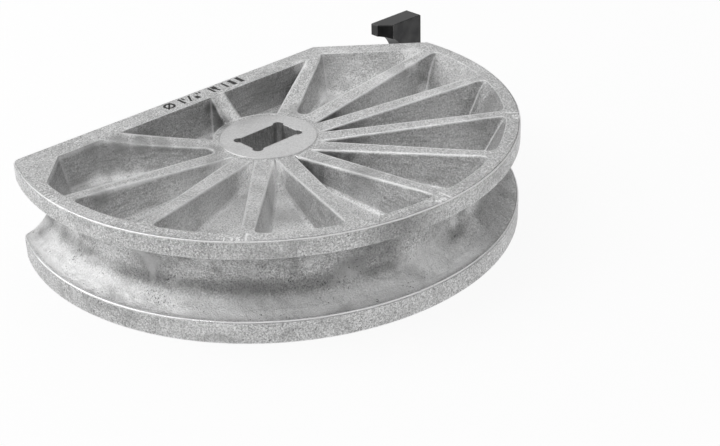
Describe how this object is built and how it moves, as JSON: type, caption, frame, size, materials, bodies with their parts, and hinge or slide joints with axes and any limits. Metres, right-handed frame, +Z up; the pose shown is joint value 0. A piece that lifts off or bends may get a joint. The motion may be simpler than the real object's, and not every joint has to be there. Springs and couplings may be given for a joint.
{
  "type": "bending die",
  "caption": "Cast aluminium bending die for round tube: a ribbed half disc with a half-round groove, a drive hole and a blackened steel tube hook.",
  "frame": {"origin": "where the axis of the drive hole meets the plane that the die rests on", "axes": "+Z up along the drive axis; +X along the straight back edge, towards the clipped corner with the hook; +Y from the drive axis towards the back edge"},
  "size_m": [0.2979, 0.1939, 0.055],
  "materials": {
    "cast_aluminium": "matt, as cast, with a fine sandy grain",
    "blackened_steel": "blackened, with worn edges",
    "screw_steel": "blackened"
  },
  "bodies": {
    "root": {"bending_former": "cast_aluminium", "tube_hook": "blackened_steel", "hook_screw_1": "screw_steel", "hook_screw_2": "screw_steel"}
  },
  "joints": []
}
